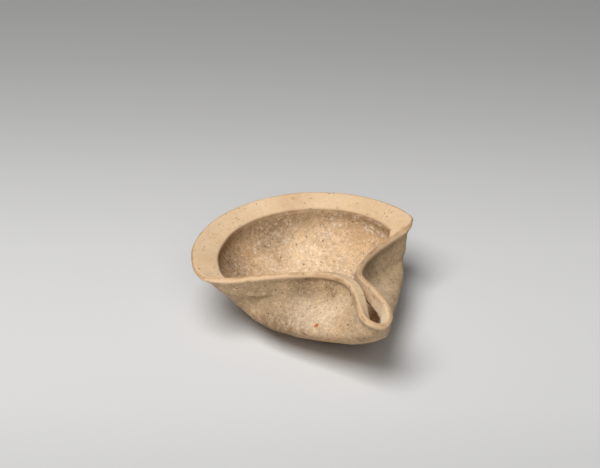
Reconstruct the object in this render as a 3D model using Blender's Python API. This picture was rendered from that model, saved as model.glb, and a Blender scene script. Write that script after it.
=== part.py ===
"""Terracotta saucer lamp with a pinched nozzle.

One piece of clay: a shallow bowl with a broad flat rim, thrown on a wheel, whose front was
folded in from both sides while soft to make a channel for the wick.
Metres, +Z up. The nozzle points to -Y. The origin is on the flat underside, under the
middle of the bowl.
"""
import math

import bmesh
import bpy
from mathutils import Vector

MM = 0.001
UP = Vector((0.0, 0.0, 1.0))

# Driving sizes
RIM_RADIUS = 65.0 * MM
RIM_HEIGHT = 43.0 * MM
FLANGE_WIDTH = 15.5 * MM
FLANGE_SLOPE = 13.0
LIP_THICKNESS = 3.2 * MM
WALL = 4.5 * MM
FLOOR_THICKNESS = 5.5 * MM
# The flat underside, and how far it runs on forward under the nozzle
FOOT_RADIUS = 20.5 * MM
FOOT_KEEL = 13.5 * MM

# The rim's round back, slightly uneven as thrown and handled: the width of each side and the
# depth as shares of the radius, how far the left quarter is flattened, and how much narrower
# the flange is at the back
SIDE_WIDTH = {"right": 0.974, "left": 1.020}
BACK_DEPTH = 0.874
BACK_PRESS = {"right": 0.0, "left": 0.05}
BACK_NARROW = 0.15
BACK_END = 84.0
BACK_COLUMNS = 5

# The folded front, from the rim's corner to the tip of the nozzle. Each row is one place on
# the lip: across, forward and above the rim's edge, as shares of the rim's radius
FOLD_LIP = {
    "right": (
        (0.946, 0.020, -0.015),
        (0.886, -0.034, -0.023),
        (0.712, -0.117, -0.034),
        (0.452, -0.274, -0.023),
        (0.238, -0.492, 0.018),
        (0.126, -0.699, 0.062),
        (0.130, -0.890, 0.071),
        (0.143, -1.110, 0.050),
        (0.118, -1.270, 0.005),
        (0.000, -1.350, -0.012),
    ),
    "left": (
        (1.015, -0.038, -0.022),
        (0.972, -0.108, -0.031),
        (0.795, -0.190, -0.037),
        (0.490, -0.296, -0.017),
        (0.222, -0.492, 0.028),
        (0.076, -0.690, 0.058),
        (0.060, -0.890, 0.068),
        (0.116, -1.110, 0.066),
        (0.128, -1.270, 0.038),
        (0.000, -1.350, -0.012),
    ),
}
# From each place on the lip across the flange to its inner edge, as shares of its width. The
# right flange is folded up on edge, and the left one leans in over the channel
FOLD_FLANGE = {
    "right": (
        (-0.95, -0.06, -0.20),
        (-0.90, -0.10, -0.30),
        (-0.60, 0.12, -0.52),
        (-0.30, 0.32, -0.60),
        (-0.22, 0.27, -0.58),
        (-0.14, 0.09, -0.50),
        (-0.19, 0.00, -0.50),
        (-0.20, 0.06, -0.44),
        (-0.30, 0.26, -0.36),
        (0.00, 0.42, -0.30),
    ),
    "left": (
        (-0.93, -0.02, -0.21),
        (-0.93, -0.08, -0.32),
        (-0.70, 0.08, -0.52),
        (-0.34, 0.36, -0.68),
        (-0.51, 0.22, -0.09),
        (-0.44, 0.00, 0.01),
        (-0.42, -0.02, -0.02),
        (-0.41, 0.00, -0.13),
        (-0.35, 0.18, -0.28),
        (0.00, 0.42, -0.30),
    ),
}
# Where the neck, the outside of the wall under the flange, lies across the flange: 0 under its
# inner edge, 1 under the lip. Round the back, then at each place of the fold
NECK_SPREAD = 0.36
NECK_DROP = 0.70
FOLD_SPREAD = {
    "right": (0.55, 0.85, 1.50, 1.60, 1.50, 2.30, 2.00, 1.50, 0.75, 0.10),
    "left": (0.26, 0.34, 0.75, 1.15, 1.15, 1.28, 1.35, 1.20, 0.78, 0.10),
}

# The belly of the bowl: its radius and height, how much higher and fuller each side is, and
# how far the keel under the nozzle reaches beyond it, as shares of the rim's radius and height
BELLY_RADIUS = 0.700
BELLY_HEIGHT = 0.430
BELLY_LIFT = {"right": 0.130, "left": -0.035}
BELLY_FULL = {"right": 0.100, "left": -0.030}
KEEL_REACH = 0.300
KEEL_START = 105.0
# How the wall leaves the foot: outwards and upwards
LOW_RUN = 0.56
LOW_RISE = 0.68
# How far the corner of a folded wall may thicken
CORNER_LIMIT = 0.60
# How steeply the inner wall leaves the inner edge, and how flat it reaches the floor
INNER_DROP = 0.7
INNER_ARRIVE = 2.0

# Mesh density
STEPS = 4
WALL_STEPS = 5
NECK_STEPS = 4
LIP_STEPS = 5
FLANGE_STEPS = 3
ARRIS_STEPS = 3
SHARP_ANGLE = 50.0
FLOOR_RINGS = (0.62, 0.30)

# Colour of the fired clay
CLAY = (0.56, 0.42, 0.30, 1.0)


def hermite(start, end, leave, arrive, share):
    """Return a point on the smooth curve from start to end with the given end tangents."""
    square = share * share
    cube = square * share
    return (
        start * (2 * cube - 3 * square + 1)
        + leave * (cube - 2 * square + share)
        + end * (3 * square - 2 * cube)
        + arrive * (cube - square)
    )


def side_sign(side):
    """Return the direction of X on one side of the lamp."""
    return 1.0 if side == "right" else -1.0


def fold_row(table, column):
    """Return the row of a fold table for one column, as a vector with X outwards."""
    return Vector(table[column - BACK_COLUMNS - 1])


def lip_column(side, column):
    """Return the lip's point at one column, counted from the back to the tip."""
    if column > BACK_COLUMNS:
        point = fold_row(FOLD_LIP[side], column) * RIM_RADIUS
    else:
        turn = math.radians(BACK_END * column / BACK_COLUMNS)
        press = 1.0 - BACK_PRESS[side] * math.sin(2 * turn) ** 2
        across = SIDE_WIDTH[side] * math.sin(turn) * press
        point = Vector((across, BACK_DEPTH * math.cos(turn), 0.0)) * RIM_RADIUS
    return Vector((point.x * side_sign(side), point.y, point.z + RIM_HEIGHT))


def outward(side, column):
    """Return the level direction that points away from the bowl at one column of the lip."""
    if column == 0:
        return Vector((0.0, 1.0, 0.0))
    if column == COLUMNS:
        return Vector((0.0, -1.0, 0.0))
    along = lip_column(side, column + 1) - lip_column(side, column - 1)
    return UP.cross(along).normalized() * side_sign(side)


def arris_column(side, column):
    """Return the inner edge of the flange, where the bowl's wall drops away."""
    lip = lip_column(side, column)
    if column > BACK_COLUMNS:
        run = fold_row(FOLD_FLANGE[side], column) * FLANGE_WIDTH
        return lip + Vector((run.x * side_sign(side), run.y, run.z))
    slope = math.radians(FLANGE_SLOPE)
    inward = outward(side, column) * -math.cos(slope)
    narrow = BACK_NARROW * math.cos(math.radians(BACK_END * column / BACK_COLUMNS))
    return lip + (inward - UP * math.sin(slope)) * FLANGE_WIDTH * (1.0 - narrow)


def neck_column(side, column):
    """Return the outside of the wall just under the flange."""
    spread = NECK_SPREAD
    if column > BACK_COLUMNS:
        spread = FOLD_SPREAD[side][column - BACK_COLUMNS - 1]
    lip = lip_column(side, column)
    arris = arris_column(side, column)
    across = arris.lerp(lip, spread)
    return Vector((across.x, across.y, lip.z - NECK_DROP * FLANGE_WIDTH))


def low_direction(side, column):
    """Return the level direction of a column low on the body, where they fan out evenly."""
    turn = math.pi * column / COLUMNS
    return Vector((math.sin(turn) * side_sign(side), math.cos(turn), 0.0))


def keel_share(column):
    """Return how far a column belongs to the keel under the nozzle, from 0 to 1."""
    turn = 180.0 * column / COLUMNS
    return max((turn - KEEL_START) / (180.0 - KEEL_START), 0.0) ** 2


def belly_column(side, column):
    """Return the outside of the body at mid height, round at the back, a keel in front."""
    swing = math.sin(math.pi * column / COLUMNS) ** 4
    full = BELLY_FULL[side] * swing
    reach = RIM_RADIUS * (BELLY_RADIUS + full + KEEL_REACH * keel_share(column))
    height = BELLY_HEIGHT + BELLY_LIFT[side] * swing
    return low_direction(side, column) * reach + UP * RIM_HEIGHT * height


def foot_column(side, column):
    """Return the edge of the flat underside, which runs forward under the keel."""
    return low_direction(side, column) * (FOOT_RADIUS + FOOT_KEEL * keel_share(column))


COLUMNS = BACK_COLUMNS + len(FOLD_LIP["right"])


def rail(place):
    """Join a place's columns into one closed smooth curve: back, right, tip, left."""
    points = [place("right", column) for column in range(COLUMNS + 1)]
    points += [place("left", column) for column in range(COLUMNS - 1, 0, -1)]
    count = len(points)
    fine = []
    for index in range(count):
        before, here = points[index - 1], points[index]
        after, beyond = points[(index + 1) % count], points[(index + 2) % count]
        leave = (after - before) * 0.5
        arrive = (beyond - here) * 0.5
        for step in range(STEPS):
            fine.append(hermite(here, after, leave, arrive, step / STEPS))
    return fine


def wall_curve(foot, belly, neck, rim):
    """Return a smooth wall at one station, from the foot through belly and neck to the rim."""
    low, high = belly - foot, neck - belly
    through = (low.normalized() + high.normalized()).normalized()
    out = Vector((belly.x, belly.y, 0.0)).normalized()
    leave = (out * LOW_RUN + UP * LOW_RISE) * low.length
    arrive = (rim - belly).normalized() * high.length
    points = []
    for step in range(WALL_STEPS):
        share = step / WALL_STEPS
        points.append(hermite(foot, belly, leave, through * low.length, share))
    for step in range(WALL_STEPS + 1):
        share = step / WALL_STEPS
        points.append(hermite(belly, neck, through * high.length, arrive, share))
    return points


def flange(lip, along, arris, belly, neck):
    """Return the flange at one station, from its underside round the lip to the arris."""
    half = LIP_THICKNESS / 2
    down = (arris - lip).normalized()
    face = down.cross(along).normalized()
    centre = lip + down * half
    under = centre - face * half
    span = (under - neck).length
    rise = (lip - belly).normalized()
    points = []
    for step in range(1, NECK_STEPS):
        share = step / NECK_STEPS
        points.append(hermite(neck, under, rise * span, down * -span, share))
    for step in range(LIP_STEPS + 1):
        turn = math.pi * (step / LIP_STEPS - 0.5)
        points.append(centre - down * half * math.cos(turn) + face * half * math.sin(turn))
    top = centre + face * half
    for step in range(1, FLANGE_STEPS):
        points.append(top.lerp(arris, step / FLANGE_STEPS))
    return points


def inner_wall(foot_rail, belly_rail, neck_rail, arris, index):
    """Return the inside of the wall at one station, from the neck down to the floor."""
    foot, belly, neck = foot_rail[index], belly_rail[index], neck_rail[index]
    low, high = (belly - foot).normalized(), (neck - belly).normalized()
    through = (low + high).normalized()
    corner = max(through.dot(high) * through.z, CORNER_LIMIT)
    after = (index + 1) % len(neck_rail)
    around = belly_rail[after] - belly_rail[index - 1]
    inner_belly = belly + around.cross(UP).normalized() * WALL / corner
    around = neck_rail[after] - neck_rail[index - 1]
    inner_neck = neck + around.cross(UP).normalized() * WALL
    inner_foot = foot + UP * FLOOR_THICKNESS
    points = wall_curve(inner_foot, inner_belly, inner_neck, arris)
    points.reverse()
    for share in FLOOR_RINGS:
        points.append(Vector((inner_foot.x * share, inner_foot.y * share, FLOOR_THICKNESS)))
    return points


def build_lamp():
    """Build the lamp's closed mesh, station by station."""
    lip = rail(lip_column)
    arris = rail(arris_column)
    neck = rail(neck_column)
    belly = rail(belly_column)
    foot = rail(foot_column)
    stations = len(lip)
    bm = bmesh.new()
    columns = []
    for index in range(stations):
        along = lip[(index + 1) % stations] - lip[index - 1]
        points = wall_curve(foot[index], belly[index], neck[index], lip[index])
        points += flange(lip[index], along, arris[index], belly[index], neck[index])
        inside = inner_wall(foot, belly, neck, arris[index], index)
        drop = UP * -(arris[index] - inside[0]).length * INNER_DROP
        arrive = (inside[1] - inside[0]) * INNER_ARRIVE
        # The wall drops from the flange's inner edge, then turns to follow the bowl
        for step in range(ARRIS_STEPS):
            points.append(hermite(arris[index], inside[0], drop, arrive, step / ARRIS_STEPS))
        points += inside
        columns.append([bm.verts.new(point) for point in points])
    under = bm.verts.new((0.0, 0.0, 0.0))
    floor = bm.verts.new((0.0, 0.0, FLOOR_THICKNESS))
    for index in range(stations):
        here, after = columns[index], columns[(index + 1) % stations]
        bm.faces.new((under, here[0], after[0]))
        for low in range(len(here) - 1):
            bm.faces.new((here[low], here[low + 1], after[low + 1], after[low]))
        bm.faces.new((floor, after[-1], here[-1]))
    bmesh.ops.recalc_face_normals(bm, faces=bm.faces)
    mesh = bpy.data.meshes.new("lamp_body")
    bm.to_mesh(mesh)
    bm.free()
    mesh.shade_smooth()
    mesh.set_sharp_from_angle(angle=math.radians(SHARP_ANGLE))
    return mesh


def clay_material():
    """Return the fired clay's material."""
    material = bpy.data.materials.new("terracotta")
    material.use_nodes = True
    shader = material.node_tree.nodes["Principled BSDF"]
    shader.inputs["Base Color"].default_value = CLAY
    shader.inputs["Roughness"].default_value = 0.85
    shader.inputs["Metallic"].default_value = 0.0
    return material


def main():
    for item in list(bpy.data.objects):
        bpy.data.objects.remove(item)
    lamp = bpy.data.objects.new("lamp_body", build_lamp())
    lamp.data.materials.append(clay_material())
    bpy.context.collection.objects.link(lamp)


main()
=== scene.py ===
# %% [markdown]
# # A terracotta saucer lamp
# The lamp is one piece of fired clay: a shallow saucer thrown on a wheel, with a broad flat
# rim, whose front was folded in from both sides while the clay was soft. The fold makes a
# channel that holds the wick. This lesson takes the measured solid of that lamp and dresses
# it: first the picture's camera and light, then the clay's surface as real relief in the
# mesh, and last the fired clay as a material made of nodes.

# %% Load the measured solid
import math
import random

import bmesh
import bpy
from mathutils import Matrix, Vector, kdtree, noise


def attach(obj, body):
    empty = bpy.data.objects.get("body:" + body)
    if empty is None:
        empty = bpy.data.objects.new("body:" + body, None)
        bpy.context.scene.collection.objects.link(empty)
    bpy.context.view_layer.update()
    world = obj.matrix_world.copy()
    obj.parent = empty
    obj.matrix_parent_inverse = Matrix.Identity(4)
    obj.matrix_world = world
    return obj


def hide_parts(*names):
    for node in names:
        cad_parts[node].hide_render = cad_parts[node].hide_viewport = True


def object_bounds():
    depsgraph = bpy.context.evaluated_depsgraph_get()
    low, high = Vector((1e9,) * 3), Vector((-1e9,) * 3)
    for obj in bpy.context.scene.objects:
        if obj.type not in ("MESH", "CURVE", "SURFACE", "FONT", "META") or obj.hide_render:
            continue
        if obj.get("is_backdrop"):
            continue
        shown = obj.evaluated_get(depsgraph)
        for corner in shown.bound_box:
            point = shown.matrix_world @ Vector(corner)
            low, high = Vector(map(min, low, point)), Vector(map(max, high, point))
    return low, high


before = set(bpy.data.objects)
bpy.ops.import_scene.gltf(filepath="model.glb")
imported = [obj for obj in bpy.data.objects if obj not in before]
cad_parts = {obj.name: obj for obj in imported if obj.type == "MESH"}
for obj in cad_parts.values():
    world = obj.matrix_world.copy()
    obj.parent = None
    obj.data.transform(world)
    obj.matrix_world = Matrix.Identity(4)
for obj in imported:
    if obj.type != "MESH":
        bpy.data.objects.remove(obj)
solid_box = [list(corner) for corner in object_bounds()]
MM = 0.001


def show_box(title, box):
    """Print a box's two corners in millimetres."""
    print(title, [[round(value / MM, 1) for value in corner] for corner in box])


show_box("The solid's box in mm:", solid_box)

# %% [markdown]
# ## The camera
# The lamp was photographed from a little to the left of its nozzle, looking down at it, with
# a long lens that keeps the far side of the rim nearly as wide as the near side. A camera
# that stands on a sphere round the rim's centre is set by two angles and a distance, which
# is easier to match to a picture than three coordinates.

# %% Place the camera
CAMERA_HEIGHT_ANGLE = math.radians(30.0)
CAMERA_TURN = math.radians(24.0)
CAMERA_DISTANCE = 0.950
LENS = 106.74
FRAME_SHIFT = (-0.0183, 0.0175)
RIM_CENTRE = Vector((0.0, 0.0, 43.0 * MM))

level = math.cos(CAMERA_HEIGHT_ANGLE)
to_camera = Vector((
    -math.sin(CAMERA_TURN) * level,
    -math.cos(CAMERA_TURN) * level,
    math.sin(CAMERA_HEIGHT_ANGLE),
))
camera_data = bpy.data.cameras.new("camera")
camera_data.lens = LENS
camera_data.shift_x, camera_data.shift_y = FRAME_SHIFT
camera = bpy.data.objects.new("camera", camera_data)
camera.location = RIM_CENTRE + to_camera * CAMERA_DISTANCE
camera.rotation_euler = to_camera.to_track_quat("Z", "Y").to_euler()
bpy.context.scene.collection.objects.link(camera)
bpy.context.scene.camera = camera
print("The camera stands", round(CAMERA_DISTANCE, 3), "m from the rim's centre")

# %% [markdown]
# ## The floor
# The floor's grey depends on the place on it, measured along the level direction away from the
# camera, so it's the same from every side: darker at the near edge, palest where the lamp
# stands and darker again towards the back.

# %% Lay the floor and its greys
scene = bpy.context.scene
scene.view_settings.view_transform = "Standard"
floor_mesh = bpy.data.meshes.new("floor")
bm = bmesh.new()
bmesh.ops.create_grid(bm, x_segments=1, y_segments=1, size=3.0)
bm.to_mesh(floor_mesh)
bm.free()
floor = bpy.data.objects.new("floor", floor_mesh)
scene.collection.objects.link(floor)
paper = bpy.data.materials.new("floor_greys")
paper.use_nodes = True
paper_nodes, paper_links = paper.node_tree.nodes, paper.node_tree.links
paper_shader = paper_nodes["Principled BSDF"]
paper_shader.inputs["Roughness"].default_value = 0.9
paper_shader.inputs["Specular IOR Level"].default_value = 0.1
paper_place = paper_nodes.new("ShaderNodeTexCoord")
along = paper_nodes.new("ShaderNodeVectorMath")
along.operation = "DOT_PRODUCT"
along.inputs[1].default_value = (math.sin(CAMERA_TURN), math.cos(CAMERA_TURN), 0.0)
paper_links.new(paper_place.outputs["Object"], along.inputs[0])
span = paper_nodes.new("ShaderNodeMapRange")
PAPER_NEAR = -0.20
PAPER_FAR = 0.60
span.inputs["From Min"].default_value = PAPER_NEAR
span.inputs["From Max"].default_value = PAPER_FAR
paper_links.new(along.outputs["Value"], span.inputs["Value"])
greys = paper_nodes.new("ShaderNodeValToRGB")
# The floor's greys along the level direction: darker at the near edge and towards the back.
FLOOR_GREYS = (
    (0.08, 0.560),
    (0.14, 0.620),
    (0.20, 0.645),
    (0.26, 0.655),
    (0.34, 0.650),
    (0.44, 0.600),
    (0.56, 0.510),
    (0.68, 0.445),
    (0.80, 0.410),
)
PAPER_WARMTH = (1.0, 0.995, 0.985)
while len(greys.color_ramp.elements) < len(FLOOR_GREYS):
    greys.color_ramp.elements.new(0.5)
for element, (position, grey) in zip(greys.color_ramp.elements, FLOOR_GREYS):
    element.position = position
    element.color = (*[grey * channel for channel in PAPER_WARMTH], 1.0)
paper_links.new(span.outputs["Result"], greys.inputs["Fac"])
paper_links.new(greys.outputs["Color"], paper_shader.inputs["Base Color"])
floor_mesh.materials.append(paper)
floor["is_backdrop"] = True

# %% [markdown]
# ## The light
# The shadows tell where the light stands. They fall behind the lamp and to its right, and
# their edges are very soft, so one big soft box hangs above, in front and to the left. A
# weaker and lower box in front opens the shadow under the nozzle. The shadow right beside the
# clay is nearly black, so hardly any light comes from elsewhere.

# %% Hang the soft boxes
LIGHT_AIM = Vector((0.0, -10.0 * MM, 20.0 * MM))
KEY_POWER = 27.0
FILL_POWER = 9.5
ROOM_LIGHT = 0.04


def soft_box(name, height_angle, turn, distance, width, power):
    """Hang a square light: angles in degrees, the turn counted leftwards from the camera."""
    height, around = math.radians(height_angle), CAMERA_TURN + math.radians(turn)
    to_light = Vector((
        -math.sin(around) * math.cos(height),
        -math.cos(around) * math.cos(height),
        math.sin(height),
    ))
    data = bpy.data.lights.new(name, "AREA")
    data.shape = "SQUARE"
    data.size = width
    data.energy = power
    light = bpy.data.objects.new(name, data)
    light.location = LIGHT_AIM + to_light * distance
    light.rotation_euler = to_light.to_track_quat("Z", "Y").to_euler()
    scene.collection.objects.link(light)
    print(name, "stands", distance, "m away and is", width, "m wide")


soft_box("key", 63.0, 34.0, 1.6, 0.95, KEY_POWER)
soft_box("front_fill", 40.0, -5.0, 1.8, 1.0, FILL_POWER)
world = bpy.data.worlds.new("studio")
scene.world = world
world.use_nodes = True
background = world.node_tree.nodes["Background"]
background.inputs["Color"].default_value = (1.0, 1.0, 1.0, 1.0)
background.inputs["Strength"].default_value = ROOM_LIGHT

# %% [markdown]
# ## A copy of the clay body to work on
# The measured solid stays as it is, for weight and touch. The lamp that is seen is a copy of
# its mesh. The copy comes as loose triangles, so its corners are merged first.

# %% Merge the copy
bm = bmesh.new()
bm.from_mesh(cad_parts["lamp_body"].data)
bmesh.ops.remove_doubles(bm, verts=bm.verts, dist=0.001 * MM)
print("The copy has", len(bm.verts), "corners and", len(bm.faces), "triangles")

# %% [markdown]
# ## Where on the wall is each corner?
# The mesh runs in rows, from the edge of the flat underside up the outside, round the lip,
# across the flat rim, over its sharp inner edge and down the inside to the floor. Walking
# along the edges from the underside counts those rows, which tells the outside, the rim and
# the inside of the bowl apart, however the clay is folded. The count is stored on the mesh,
# where the relief and the colours can read it.

# %% Count the rows from the underside
ROW_LIP = 17.3
ROW_LIP_TOP = 19
ROW_EDGE = 22
row_layer = bm.verts.layers.float.new("row")
front = [vert for vert in bm.verts if vert.co.z < 0.01 * MM]
row_of = {vert: 0 for vert in front}
while front:
    reached = []
    for vert in front:
        for edge in vert.link_edges:
            other = edge.other_vert(vert)
            if other not in row_of:
                row_of[other] = row_of[vert] + 1
                reached.append(other)
    front = reached
for vert, row in row_of.items():
    vert[row_layer] = row
print("The highest row is", max(row_of.values()))

# %% [markdown]
# ## The sharp inner edge
# Here and there the walk takes a short cut, so its count is one or two too low. The inner edge
# has to be exact, because a crease will follow it. So it is found by its shape: it is convex,
# its two faces meet at a wide angle, and its count is close. In the nozzle's rounded spoon the
# angle is too flat, and the count alone decides.

# %% Find the inner edge
EDGE_ANGLE = math.radians(30.0)
SPOON_START = -74.0 * MM


def in_spoon(edge):
    """Tell whether an edge reaches into the nozzle's spoon."""
    return min(vert.co.y for vert in edge.verts) < SPOON_START


inner_edge = []
for edge in bm.edges:
    counts = [row_of[vert] for vert in edge.verts]
    sharp = edge.is_convex and edge.calc_face_angle(0.0) > EDGE_ANGLE
    near_row = all(abs(count - ROW_EDGE) <= 2 for count in counts)
    on_row = all(count == ROW_EDGE for count in counts)
    if (sharp and near_row) or (on_row and in_spoon(edge)):
        inner_edge.append(edge)
edge_corners = {vert for edge in inner_edge for vert in edge.verts}
for vert, row in row_of.items():
    if vert in edge_corners:
        vert[row_layer] = ROW_EDGE
    elif row == ROW_EDGE:
        vert[row_layer] = ROW_EDGE + 1
print("The inner edge has", len(inner_edge), "pieces and", len(edge_corners), "corners")

# %% [markdown]
# ## Four-sided faces and a crisp edge
# Smooth subdivision follows rows of four-sided faces much better than triangles, so pairs of
# triangles are joined back. Edges that run along a row are marked as seams, so that no pair is
# joined across them, and the marks are cleared afterwards. Inside the flat rim the wall drops
# away at a sharp edge. It would be rounded off, so its edges get a crease, which is weak in the
# nozzle's rounded spoon. The lip's upper edge gets a soft crease too.

# %% Join the triangles and crease the edges
EDGE_CREASE = 0.85
SPOON_CREASE = 0.25
LIP_CREASE = 0.40
for edge in bm.edges:
    edge.seam = edge.verts[0][row_layer] == edge.verts[1][row_layer]
bmesh.ops.join_triangles(
    bm,
    faces=bm.faces,
    cmp_seam=True,
    angle_face_threshold=math.radians(60.0),
    angle_shape_threshold=math.radians(80.0),
)
for face in bm.faces:
    face.smooth = True
crease = bm.edges.layers.float.new("crease_edge")
creased = 0
for edge in bm.edges:
    edge.seam = False
    if all(vert in edge_corners for vert in edge.verts):
        edge[crease] = SPOON_CREASE if in_spoon(edge) else EDGE_CREASE
        creased += 1
    elif all(vert[row_layer] == ROW_LIP_TOP for vert in edge.verts):
        edge[crease] = LIP_CREASE
        creased += 1
body_mesh = bpy.data.meshes.new("lamp")
bm.to_mesh(body_mesh)
bm.free()
lamp = bpy.data.objects.new("lamp", body_mesh)
scene.collection.objects.link(lamp)
print("Creased", creased, "edges of", len(body_mesh.polygons), "faces")

# %% [markdown]
# ## Subdivide and take the finished mesh
# A Subdivision Surface modifier rounds the faces off. The relief to come needs real vertices
# to move, about 1 mm apart, so the modifier's result is taken as the new mesh.

# %% Subdivide the clay
smooth = lamp.modifiers.new("smooth", "SUBSURF")
smooth.levels = 2
smooth.render_levels = 2
bpy.context.view_layer.update()
evaluated = lamp.evaluated_get(bpy.context.evaluated_depsgraph_get())
fine_mesh = bpy.data.meshes.new_from_object(evaluated)
lamp.modifiers.clear()
lamp.data = fine_mesh
bpy.data.meshes.remove(body_mesh)
fine_mesh.name = "lamp"
print("The clay has", len(fine_mesh.vertices), "vertices")

# %% [markdown]
# ## Regions of the surface
# Each region is a number from 0 to 1 at every vertex, with soft borders, and follows from the
# rows: the outside, the inside, the lip, the line of the inner edge and the band under it. What
# is neither outside nor inside is the flat rim. A last number keeps the relief calm beside the
# inner edge, so that the edge stays a clean line.

# %% Work out the regions


def ramp(value, low, high):
    """Return 0 below low, 1 above high, and a smooth step between."""
    share = min(max((value - low) / (high - low), 0.0), 1.0)
    return share * share * (3.0 - 2.0 * share)


def bump(distance, radius):
    """Return 1 at distance 0, falling smoothly to 0 at the radius."""
    return 1.0 - ramp(distance, 0.0, radius)


rows = [item.value for item in fine_mesh.attributes["row"].data]
places = [vert.co.copy() for vert in fine_mesh.vertices]
normals = [vert.normal.copy() for vert in fine_mesh.vertices]
outside = [1.0 - ramp(row, 13.0, 15.0) for row in rows]
inside = [ramp(row, ROW_EDGE - 0.1, ROW_EDGE + 0.8) for row in rows]
lip = [bump(abs(row - ROW_LIP), 2.0) for row in rows]
# The line of the inner edge and the band under it carry painted shade, laid on in the material.
edge_shadow_line = [bump(abs(row - ROW_EDGE - 0.2), 0.55) for row in rows]
under_edge_shade = [
    ramp(row, ROW_EDGE + 0.3, ROW_EDGE + 1.0) * (1.0 - ramp(row, ROW_EDGE + 1.5, ROW_EDGE + 5.0))
    for row in rows
]
calm = [1.0 - 0.8 * bump(abs(row - ROW_EDGE), 2.2) for row in rows]
for name, values in (("Outside", outside), ("Inside", inside)):
    print(name, "holds", round(sum(values) / len(rows), 2), "of the vertices")

# %% [markdown]
# ## Relief in the clay
# A hand-made pot is never even. Broad swells come from the hands, rings from the turning
# wheel, grit and pits from the coarse clay, and nicks from long use. Each is a small height
# added along the surface's normal. The heights are a fraction of a millimetre, which is
# enough for the light to catch.

# %% Shape the broad unevenness, the rings and the grit


def wave(place, size, seed):
    """Return smooth noise from -1 to 1 whose lumps are about the given size."""
    return noise.noise(place / size + Vector((seed, -seed, seed * 0.5)))


def grit(place, size, seed):
    """Return rough noise of three sizes, from about -1 to 1."""
    return (
        wave(place, size, seed)
        + wave(place, size * 0.5, seed + 3.1) * 0.6
        + wave(place, size * 0.27, seed + 7.7) * 0.4
    )


SWELL, SWELL_SIZE = 0.26 * MM, 34.0 * MM
DENT, DENT_SIZE = 0.15 * MM, 11.0 * MM
RING, RING_GAP = 0.07 * MM, 3.6 * MM
RING_WOBBLE_SIZE = 26.0 * MM
GRIT, GRIT_SIZE = 0.15 * MM, 2.6 * MM
RIM_GRIT = 0.35
heights = []
for place, out, into, quiet in zip(places, outside, inside, calm):
    height = wave(place, SWELL_SIZE, 1.0) * SWELL + wave(place, DENT_SIZE, 5.0) * DENT * quiet
    radius = math.hypot(place.x, place.y)
    wobble = wave(place, RING_WOBBLE_SIZE, 9.0) * RING_GAP
    height += math.sin((radius + wobble) / RING_GAP * math.tau) * RING * into
    rough = RIM_GRIT + (1.0 - RIM_GRIT) * max(out, into)
    height += grit(place, GRIT_SIZE, 2.0) * GRIT * rough * quiet
    heights.append(height)
print("Broad relief from", round(min(heights) / MM, 2), "to", round(max(heights) / MM, 2), "mm")

# %% [markdown]
# ## Rough patches
# Some places are much rougher than the rest: the back and left of the bowl's wall, where lime
# and sand stand out, the hollows under the two folded lips, which the fingers never smoothed,
# and the belly on the left. Each patch has a centre, a radius and a roughness in millimetres.

# %% Roughen the patches
ROUGH_PATCHES = (
    ((-6.0, 43.0, 27.0), 16.0, 0.38),
    ((-38.0, 25.0, 30.0), 18.0, 0.30),
    ((-16.0, -29.0, 38.5), 12.0, 0.34),
    ((-7.0, -41.0, 39.0), 9.0, 0.34),
    ((21.0, -26.0, 37.0), 11.0, 0.26),
    ((-32.0, -36.0, 18.0), 22.0, 0.26),
)
roughness = [0.0] * len(places)
for centre, radius, strength in ROUGH_PATCHES:
    middle = Vector(centre) * MM
    for index, place in enumerate(places):
        distance = (place - middle).length
        if distance < radius * MM:
            share = bump(distance, radius * MM) * max(inside[index], outside[index]) * calm[index]
            roughness[index] = max(roughness[index], share)
            heights[index] += grit(place, GRIT_SIZE, 4.0) * share * strength * MM
print("Roughened", sum(1 for share in roughness if share > 0.0), "vertices")

# %% [markdown]
# ## Pits, nicks and lines
# Small stones burn out or fall out and leave pits, and the lips and the sharp inner edge are
# chipped. A raised scar runs across the left side, a thin scratch was cut low on the front, and
# wet clay was smeared on the right. A pit is a smooth dip with a centre, a radius and a depth
# in millimetres. Most are scattered by a seeded random choice, and the few that stand out are
# set one by one. A scar, a scratch or a smear is a row of dips or bumps along a line.

# %% Press the pits and the scratch, and raise the scar and the smears
MARKS = (
    ((-3.3, 35.1, 14.7), 1.8, 0.45),
    ((21.5, 26.4, 15.3), 1.2, 0.35),
    ((27.4, 36.9, 34.2), 1.0, 0.35),
    ((-31.4, 33.9, 39.4), 1.5, 0.30),
    ((-10.2, -68.1, 34.5), 1.1, 0.40),
    ((-6.9, -77.2, 29.4), 2.0, 0.45),
    ((-7.0, -69.9, 47.2), 2.0, 0.55),
    ((-6.2, -66.0, 47.6), 1.6, 0.40),
    ((-8.6, -82.5, 45.1), 2.0, 0.60),
    ((-19.9, -51.5, 27.3), 1.2, 0.25),
    ((-38.5, -23.4, 19.4), 2.2, 0.35),
    ((-34.8, -32.1, 19.8), 2.4, 0.40),
    ((-30.0, -40.8, 20.0), 2.4, 0.40),
    ((-25.3, -48.0, 20.9), 2.0, 0.35),
)
SCAR = ((-42.3, -15.3, 30.9), (-38.0, -17.2, 30.2), (-34.3, -19.2, 31.0))
SCRATCH = ((-18.6, -53.1, 27.9), (-16.6, -53.7, 29.2), (-15.8, -55.6, 29.5))
SMEARS = (
    ((36.5, -17.5, 31.2), (38.5, -21.5, 28.5), (36.0, -26.5, 27.6)),
    ((33.8, -18.8, 31.6), (35.2, -22.5, 28.8), (32.8, -27.5, 28.0)),
    ((31.2, -20.6, 32.2), (32.2, -24.0, 29.2), (29.8, -28.8, 28.4)),
)
SCATTERED_PITS = 150
PIT_REACH = 1.3
LINE_STEP = 0.4 * MM
PIT_SEED = 11
chance = random.Random(PIT_SEED)
pits = [(Vector(centre) * MM, radius * MM, depth * MM) for centre, radius, depth in MARKS]
for _ in range(SCATTERED_PITS):
    centre = places[chance.randrange(len(places))]
    radius = chance.uniform(0.7, 1.5) * MM
    pits.append((centre, radius, radius * chance.uniform(0.15, 0.30)))
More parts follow.
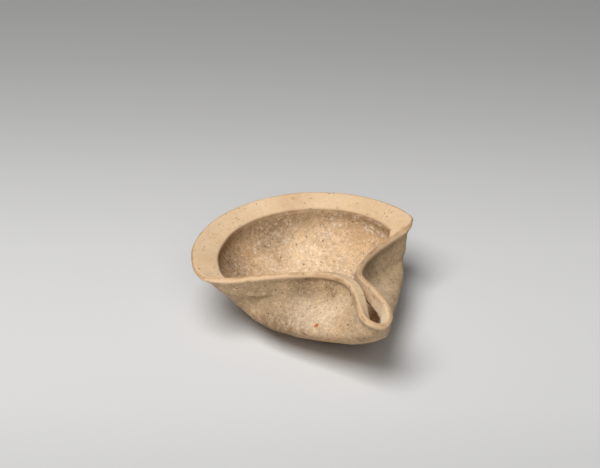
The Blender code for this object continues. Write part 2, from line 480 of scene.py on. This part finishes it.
tree = kdtree.KDTree(len(places))
for index, place in enumerate(places):
    tree.insert(place, index)
tree.balance()
pitted = [0.0] * len(places)
for centre, radius, depth in pits:
    for _, index, distance in tree.find_range(centre, radius * PIT_REACH):
        share = bump(distance, radius * PIT_REACH) * calm[index]
        heights[index] -= share * depth
        pitted[index] = max(pitted[index], share)


def groove(points, width, depth):
    """Press a line through the points, width and depth in mm; a negative depth raises it."""
    corners = [Vector(point) * MM for point in points]
    for start, end in zip(corners, corners[1:]):
        steps = max(int((end - start).length / LINE_STEP), 1)
        for step in range(steps):
            middle = start.lerp(end, step / steps)
            for _, index, distance in tree.find_range(middle, width * MM):
                share = bump(distance, width * MM)
                stronger = max if depth > 0.0 else min
                lines[index] = stronger(lines[index], share * depth)


lines = [0.0] * len(places)
groove(SCAR, 1.6, -0.90)
groove(SCRATCH, 1.2, 0.35)
for smear in SMEARS:
    groove(smear, 1.4, -0.60)
for index, depth in enumerate(lines):
    heights[index] -= depth * MM
print("Pressed", len(pits), "pits and", 2 + len(SMEARS), "lines")

# %% [markdown]
# ## White crust in the bowl
# Lime from the ground has settled on the inside as thin, pale, flaky specks, less of it high on
# the left wall. It stands a little proud. The same number raises the surface here and whitens
# the colour later, so the two always agree.

# %% Grow the crust
CRUST_RISE = 0.12 * MM
FLAKE_SIZE = 3.4 * MM
DRIFT_SIZE = 17.0 * MM
crust = []
for index, (place, into) in enumerate(zip(places, inside)):
    amount = grit(place, FLAKE_SIZE, 12.0) * 0.5 + wave(place, DRIFT_SIZE, 15.0) * 0.35
    high_left = ramp(place.z, 24.0 * MM, 36.0 * MM) * ramp(-place.x, 5.0 * MM, 20.0 * MM)
    share = ramp(amount, -0.04, 0.22) * into * (1.0 - 0.75 * high_left)
    crust.append(share)
    heights[index] += share * CRUST_RISE
print("Crust covers", round(sum(crust) / max(sum(inside), 1.0), 2), "of the inside")

# %% [markdown]
# ## Move the vertices
# Every vertex moves along its own normal by its height. On the flat underside nothing moves,
# so that the lamp still rests flat, and no point leaves the measured solid's box. The regions
# are then stored on the mesh as attributes, where the material reads them.

# %% Apply the relief
low_corner, high_corner = Vector(solid_box[0]), Vector(solid_box[1])
for vert, normal, height in zip(fine_mesh.vertices, normals, heights):
    share = ramp(vert.co.z, 0.2 * MM, 3.0 * MM)
    target = vert.co + normal * height * share
    for axis in range(3):
        target[axis] = min(max(target[axis], low_corner[axis]), high_corner[axis])
    vert.co = target
fine_mesh.update()
layers = {
    "outside": outside,
    "inside": inside,
    "lip": lip,
    "edge_shadow_line": edge_shadow_line,
    "under_edge_shade": under_edge_shade,
    "crust": crust,
    "rough": roughness,
    "pit": pitted,
}
for name, values in layers.items():
    layer = fine_mesh.attributes.new(name, "FLOAT", "POINT")
    layer.data.foreach_set("value", values)
print("Moved", len(places), "vertices")

# %% [markdown]
# ## The fired clay
# Unglazed terracotta is matt and never one colour. The base is a pale, warm buff that drifts
# between cream and tan in soft clouds. Everything is placed in the lamp's own coordinates, so
# the pattern sits in the clay. Small helper functions keep the node tree readable: each one
# adds a node, links it and returns its output.

# %% Helpers for the material
clay = bpy.data.materials.new("terracotta_clay")
clay.use_nodes = True
nodes, links = clay.node_tree.nodes, clay.node_tree.links
shader = nodes["Principled BSDF"]
shader.inputs["Roughness"].default_value = 0.88
shader.inputs["Specular IOR Level"].default_value = 0.22
place_node = nodes.new("ShaderNodeTexCoord")


def noise_node(scale, detail, roughness):
    """Add a noise texture in the lamp's coordinates; scale is lumps per metre."""
    node = nodes.new("ShaderNodeTexNoise")
    node.inputs["Scale"].default_value = scale
    node.inputs["Detail"].default_value = detail
    node.inputs["Roughness"].default_value = roughness
    links.new(place_node.outputs["Object"], node.inputs["Vector"])
    return node.outputs["Fac"]


def spread(value, low, high, new_low=0.0, new_high=1.0):
    """Stretch a value's range from low..high to new_low..new_high, without going beyond."""
    node = nodes.new("ShaderNodeMapRange")
    node.inputs["From Min"].default_value = low
    node.inputs["From Max"].default_value = high
    node.inputs["To Min"].default_value = new_low
    node.inputs["To Max"].default_value = new_high
    links.new(value, node.inputs["Value"])
    return node.outputs["Result"]


def region(name):
    """Read one of the regions stored on the mesh."""
    node = nodes.new("ShaderNodeAttribute")
    node.attribute_name = name
    return node.outputs["Fac"]


def combine(operation, first, second):
    """Add, subtract, multiply or compare two values; the second may be a plain number."""
    node = nodes.new("ShaderNodeMath")
    node.operation = operation
    links.new(first, node.inputs[0])
    if isinstance(second, float):
        node.inputs[1].default_value = second
    else:
        links.new(second, node.inputs[1])
    return node.outputs["Value"]


def times(first, *others):
    """Multiply values and plain numbers; the first has to be a value."""
    product = first
    for other in others:
        product = combine("MULTIPLY", product, other)
    return product


def tint(base, colour, share):
    """Lay a plain colour over a base colour by a share from 0 to 1."""
    node = nodes.new("ShaderNodeMix")
    node.data_type = "RGBA"
    links.new(share, node.inputs["Factor"])
    links.new(base, node.inputs["A"])
    node.inputs["B"].default_value = (*colour, 1.0)
    return node.outputs["Result"]


def near(points, radius):
    """Return 1 at the nearest of a few points in mm, falling to 0 at the radius."""
    total = None
    for point in points:
        node = nodes.new("ShaderNodeVectorMath")
        node.operation = "DISTANCE"
        links.new(place_node.outputs["Object"], node.inputs[0])
        node.inputs[1].default_value = [value * MM for value in point]
        share = spread(node.outputs["Value"], radius * MM, 0.0)
        total = share if total is None else combine("MAXIMUM", total, share)
    return total


# %% [markdown]
# ## Base colour, cream rim and brown outside
# Soft clouds mix the buff. The flat rim was smoothed by hand, so it's creamier and cleaner. The
# same cream is laid as painted light on the right side of the bowl's floor. The outside is greyer
# and browner, because hands and soil have stained it, and the same umber is laid as painted
# shade in the hollows under the two folds. Where the left fold bulges, painted light makes it
# pale.

# %% Mix the base
BUFF_TONES = (
    (0.30, (0.560, 0.350, 0.185)),
    (0.50, (0.660, 0.455, 0.270)),
    (0.70, (0.730, 0.540, 0.350)),
)
CREAM = (0.730, 0.525, 0.325)
UMBER = (0.300, 0.210, 0.120)
PALE_BUFF_LIGHT = (0.780, 0.610, 0.440)
BOWL_FLOOR_LIGHT = ((24.0, 4.0, 15.0), (8.0, -8.0, 8.0))
LEFT_HOLLOW_SHADE = ((-34.0, -20.0, 31.0), (-22.0, -28.0, 34.0))
RIGHT_HOLLOW_SHADE = ((36.0, -8.0, 34.0), (38.0, -13.0, 36.0), (30.0, -17.0, 34.0))
LIT_BULGE = ((-24.0, -41.0, 31.0), (-15.0, -50.0, 33.0))
tones = nodes.new("ShaderNodeValToRGB")
while len(tones.color_ramp.elements) < len(BUFF_TONES):
    tones.color_ramp.elements.new(0.5)
for element, (position, buff) in zip(tones.color_ramp.elements, BUFF_TONES):
    element.position = position
    element.color = (*buff, 1.0)
links.new(noise_node(30.0, 4.0, 0.55), tones.inputs["Fac"])
outside_share = region("outside")
inside_share = region("inside")
worn_share = combine("MAXIMUM", outside_share, inside_share)
rim_share = spread(worn_share, 0.0, 1.0, 1.0, 0.0)
stain = spread(noise_node(90.0, 9.0, 0.80), 0.38, 0.60, 0.25, 1.0)
colour = tint(tones.outputs["Color"], CREAM, times(rim_share, 0.55))
# Painted light: cream laid on the right side of the bowl's floor, where the light falls.
colour = tint(colour, CREAM, times(near(BOWL_FLOOR_LIGHT, 34.0), inside_share, 0.45))
colour = tint(colour, UMBER, times(stain, outside_share, 0.45))
# Painted shade: strong umber laid in the hollows under the two folds.
colour = tint(colour, UMBER, times(near(LEFT_HOLLOW_SHADE + RIGHT_HOLLOW_SHADE, 22.0), outside_share, 0.88))
# Painted light: pale buff laid on the left fold's bulge, which faces the light.
colour = tint(colour, PALE_BUFF_LIGHT, times(near(LIT_BULGE, 15.0), outside_share, 0.65))

# %% [markdown]
# ## Stains on the lip and in the rough places, painted shade at the inner edge
# The outer edge of the lip is a thin orange-brown line where it was handled and fired hottest.
# Dust and soot stay in the rough patches and in the pits, between paler grains of sand. Along the
# sharp inner edge a dark line of painted shade is laid, with an olive-brown band of painted shade
# on the wall just under it.

# %% Stain the lip and rough places, and paint shade at the inner edge
ORANGE = (0.380, 0.215, 0.100)
GRIME_AND_SHADE = (0.280, 0.165, 0.080)
PALE_SAND = (0.800, 0.640, 0.460)
OLIVE_SHADE = (0.330, 0.225, 0.115)
streaks = spread(noise_node(140.0, 5.0, 0.65), 0.36, 0.60)
grain_noise = noise_node(520.0, 6.0, 0.80)
dark_grains = spread(grain_noise, 0.47, 0.60)
pale_grains = spread(grain_noise, 0.46, 0.36)
mostly_inside = spread(inside_share, 0.0, 1.0, 0.05, 0.85)
rough_share = region("rough")
colour = tint(colour, ORANGE, times(region("lip"), spread(streaks, 0.0, 1.0, 0.25, 0.85)))
colour = tint(colour, GRIME_AND_SHADE, times(rough_share, dark_grains, 0.75))
colour = tint(colour, PALE_SAND, times(rough_share, pale_grains, mostly_inside))
colour = tint(colour, GRIME_AND_SHADE, times(region("pit"), 0.55))
# Painted shade: a dark line along the sharp inner edge, where the wall drops away under it.
colour = tint(colour, GRIME_AND_SHADE, times(region("edge_shadow_line"), spread(streaks, 0.0, 1.0, 0.55, 0.90)))
# Painted shade: an olive-brown band on the wall just under the inner edge.
colour = tint(colour, OLIVE_SHADE, times(region("under_edge_shade"), spread(streaks, 0.0, 1.0, 0.25, 0.70)))

# %% [markdown]
# ## White crust and fine specks
# The crust uses the stored number, broken up by a fine noise into flakes. Coarse clay also
# shows dark, brown and pale sand grains about half a millimetre wide. A Voronoi texture gives
# them as small dots, and a noise bends its cells so that no two dots are alike.

# %% Whiten the crust and scatter the specks
CHALK = (0.900, 0.780, 0.640)
DARK_SPECK = (0.130, 0.075, 0.040)
BROWN_SPECK = (0.330, 0.180, 0.090)
PALE_SPECK = (0.820, 0.710, 0.580)
CELL_BEND = 0.7
crust_flakes = times(region("crust"), spread(noise_node(560.0, 7.0, 0.85), 0.47, 0.55))
colour = tint(colour, CHALK, times(crust_flakes, 0.55))


def dots(per_metre, size, share, shift):
    """Scatter uneven dots: a share of the Voronoi cells gets a dot of a size in cell widths."""
    wobble = nodes.new("ShaderNodeTexNoise")
    wobble.inputs["Scale"].default_value = per_metre * 2.5
    links.new(place_node.outputs["Object"], wobble.inputs["Vector"])
    bend = nodes.new("ShaderNodeVectorMath")
    bend.operation = "MULTIPLY_ADD"
    links.new(wobble.outputs["Color"], bend.inputs[0])
    bend.inputs[1].default_value = [CELL_BEND / per_metre] * 3
    bend.inputs[2].default_value = [shift] * 3
    move = nodes.new("ShaderNodeVectorMath")
    move.operation = "ADD"
    links.new(place_node.outputs["Object"], move.inputs[0])
    links.new(bend.outputs["Vector"], move.inputs[1])
    cells = nodes.new("ShaderNodeTexVoronoi")
    cells.inputs["Scale"].default_value = per_metre
    links.new(move.outputs["Vector"], cells.inputs["Vector"])
    split = nodes.new("ShaderNodeSeparateColor")
    links.new(cells.outputs["Color"], split.inputs["Color"])
    chosen = combine("LESS_THAN", split.outputs["Red"], share)
    return times(spread(cells.outputs["Distance"], size, size * 0.5), chosen)


dark_dots = dots(650.0, 0.32, 0.11, 0.0)
brown_dots = dots(950.0, 0.40, 0.14, 0.3)
pale_dots = dots(1200.0, 0.45, 0.16, 0.7)
fewer_on_rim = spread(worn_share, 0.0, 1.0, 0.4, 1.0)
colour = tint(colour, DARK_SPECK, times(dark_dots, fewer_on_rim, 0.85))
colour = tint(colour, BROWN_SPECK, times(brown_dots, fewer_on_rim, 0.75))
colour = tint(colour, PALE_SPECK, times(pale_dots, worn_share, 0.40))

# %% [markdown]
# ## Single marks
# A few marks catch the eye: an orange-brown iron spot low on the front, reddish chips along the
# belly and a faint red tinge on the back of the rim and the floor. The nozzle's spoon gets a
# cream of painted light, which makes it the palest place of all.

# %% Place the single marks
RUST = (0.480, 0.120, 0.020)
RED_CLAY = (0.420, 0.190, 0.095)
SPOON_LIGHT_CREAM = (0.860, 0.740, 0.560)
IRON_SPOT = ((-19.9, -51.5, 27.3), (-20.0, -51.4, 26.4))
CHIPS = ((-38.5, -23.4, 19.4), (-34.8, -32.1, 19.8), (-30.0, -40.8, 20.0), (-25.3, -48.0, 20.9))
RED_TINGE = ((14.9, 48.7, 42.5), (9.0, 49.5, 42.5), (-3.3, 35.1, 14.7))
SPOON = ((2.5, -77.0, 36.0), (2.0, -70.0, 34.0))
off_the_lip = combine("SUBTRACT", rim_share, region("lip"))
colour = tint(colour, RED_CLAY, times(near(CHIPS, 5.0), dark_grains, 0.90))
colour = tint(colour, RED_CLAY, times(near(RED_TINGE, 9.0), streaks, 0.40))
colour = tint(colour, RUST, combine("MINIMUM", times(near(IRON_SPOT, 1.2), 3.0), 0.9))
# Painted light: cream laid in the nozzle's spoon, the lit side of the wick channel.
spoon_light_share = times(near(SPOON, 12.0), combine("MAXIMUM", inside_share, off_the_lip))
colour = tint(colour, SPOON_LIGHT_CREAM, spoon_light_share)

# %% [markdown]
# ## Fine mottling
# Two finer noises make the whole colour a little lighter or darker from place to place, which
# is the sandy look of coarse fired clay. The smoothed rim shows least of it.

# %% Mottle the colour
calmer_on_rim = spread(worn_share, 0.0, 1.0, 0.3, 1.0)
mottle = spread(noise_node(210.0, 7.0, 0.75), 0.34, 0.66, -0.12, 0.12)
sand_noise = noise_node(560.0, 6.0, 0.85)
uneven = times(combine("ADD", mottle, spread(sand_noise, 0.38, 0.62, -0.20, 0.20)), calmer_on_rim)
shade = nodes.new("ShaderNodeHueSaturation")
links.new(combine("ADD", uneven, 1.0), shade.inputs["Value"])
links.new(colour, shade.inputs["Color"])
links.new(shade.outputs["Color"], shader.inputs["Base Color"])

# %% [markdown]
# ## Fine grain as bump
# Grain finer than the mesh can hold goes into a Bump node: sandy grain everywhere, stronger
# inside, outside and in the rough patches than on the smoothed rim. The dark dots become
# pinholes, and the flakes of crust stand up a little.

# %% Add the fine grain
BUMP_DISTANCE = 0.60 * MM
grain_height = combine("ADD", times(sand_noise, 0.5), noise_node(420.0, 7.0, 0.80))
grain_share = combine("ADD", calmer_on_rim, times(rough_share, 1.6))
relief = combine("SUBTRACT", times(grain_height, grain_share), times(dark_dots, 0.6))
relief = combine("ADD", relief, times(crust_flakes, 0.10))
bump_node = nodes.new("ShaderNodeBump")
bump_node.inputs["Strength"].default_value = 1.0
bump_node.inputs["Distance"].default_value = BUMP_DISTANCE
links.new(relief, bump_node.inputs["Height"])
links.new(bump_node.outputs["Normal"], shader.inputs["Normal"])
lamp.data.materials.clear()
lamp.data.materials.append(clay)
print("The clay's material has", len(nodes), "nodes")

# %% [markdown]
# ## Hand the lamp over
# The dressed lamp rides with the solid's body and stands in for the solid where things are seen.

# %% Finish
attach(lamp, "root")
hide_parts("lamp_body")
seen_box = [list(corner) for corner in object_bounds()]
show_box("The dressed lamp's box in mm:", seen_box)
